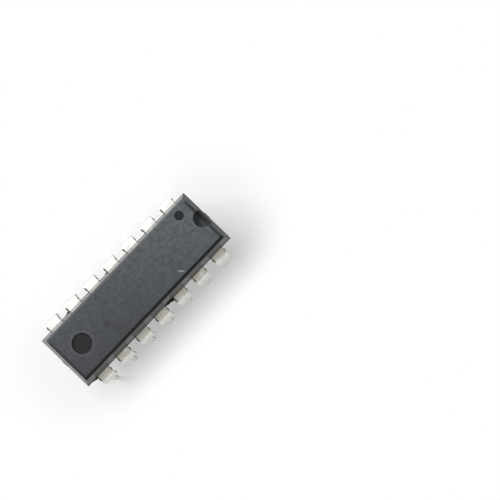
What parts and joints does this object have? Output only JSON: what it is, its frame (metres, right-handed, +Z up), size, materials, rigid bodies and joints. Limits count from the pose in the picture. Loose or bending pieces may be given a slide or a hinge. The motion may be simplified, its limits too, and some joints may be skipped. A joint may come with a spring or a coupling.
{
  "type": "dual in-line integrated circuit",
  "caption": "Moulded dual in-line integrated circuit with splayed leads down both sides, a half-round notch and a round dimple.",
  "frame": {"origin": "under the middle of the package, on the surface that the lead tips stand on", "axes": "+X along the package towards the notched end, +Z up out of the top face, +Y towards the row of leads 1 to 7"},
  "size_m": [0.0192, 0.0084, 0.0071],
  "materials": {
    "moulding": "matte spark-eroded mould texture, dark blue-grey epoxy",
    "tinned_lead": "dull tin plate over a copper alloy strip",
    "frame_copper": "bare copper alloy",
    "bond_paste": "cured silver-filled paste",
    "silicon": "polished silicon",
    "gold_wire": "drawn gold wire"
  },
  "bodies": {
    "root": {"body": "moulding", "lead_1": "tinned_lead", "lead_2": "tinned_lead", "lead_3": "tinned_lead", "lead_4": "tinned_lead", "lead_5": "tinned_lead", "lead_6": "tinned_lead", "lead_7": "tinned_lead", "lead_8": "tinned_lead", "lead_9": "tinned_lead", "lead_10": "tinned_lead", "lead_11": "tinned_lead", "lead_12": "tinned_lead", "lead_13": "tinned_lead", "lead_14": "tinned_lead", "die_pad": "frame_copper", "die_bond": "bond_paste", "die": "silicon", "bond_wire_1": "gold_wire", "bond_wire_2": "gold_wire", "bond_wire_3": "gold_wire", "bond_wire_4": "gold_wire", "bond_wire_5": "gold_wire", "bond_wire_6": "gold_wire", "bond_wire_7": "gold_wire", "bond_wire_8": "gold_wire", "bond_wire_9": "gold_wire", "bond_wire_10": "gold_wire", "bond_wire_11": "gold_wire", "bond_wire_12": "gold_wire", "bond_wire_13": "gold_wire", "bond_wire_14": "gold_wire"}
  },
  "joints": []
}
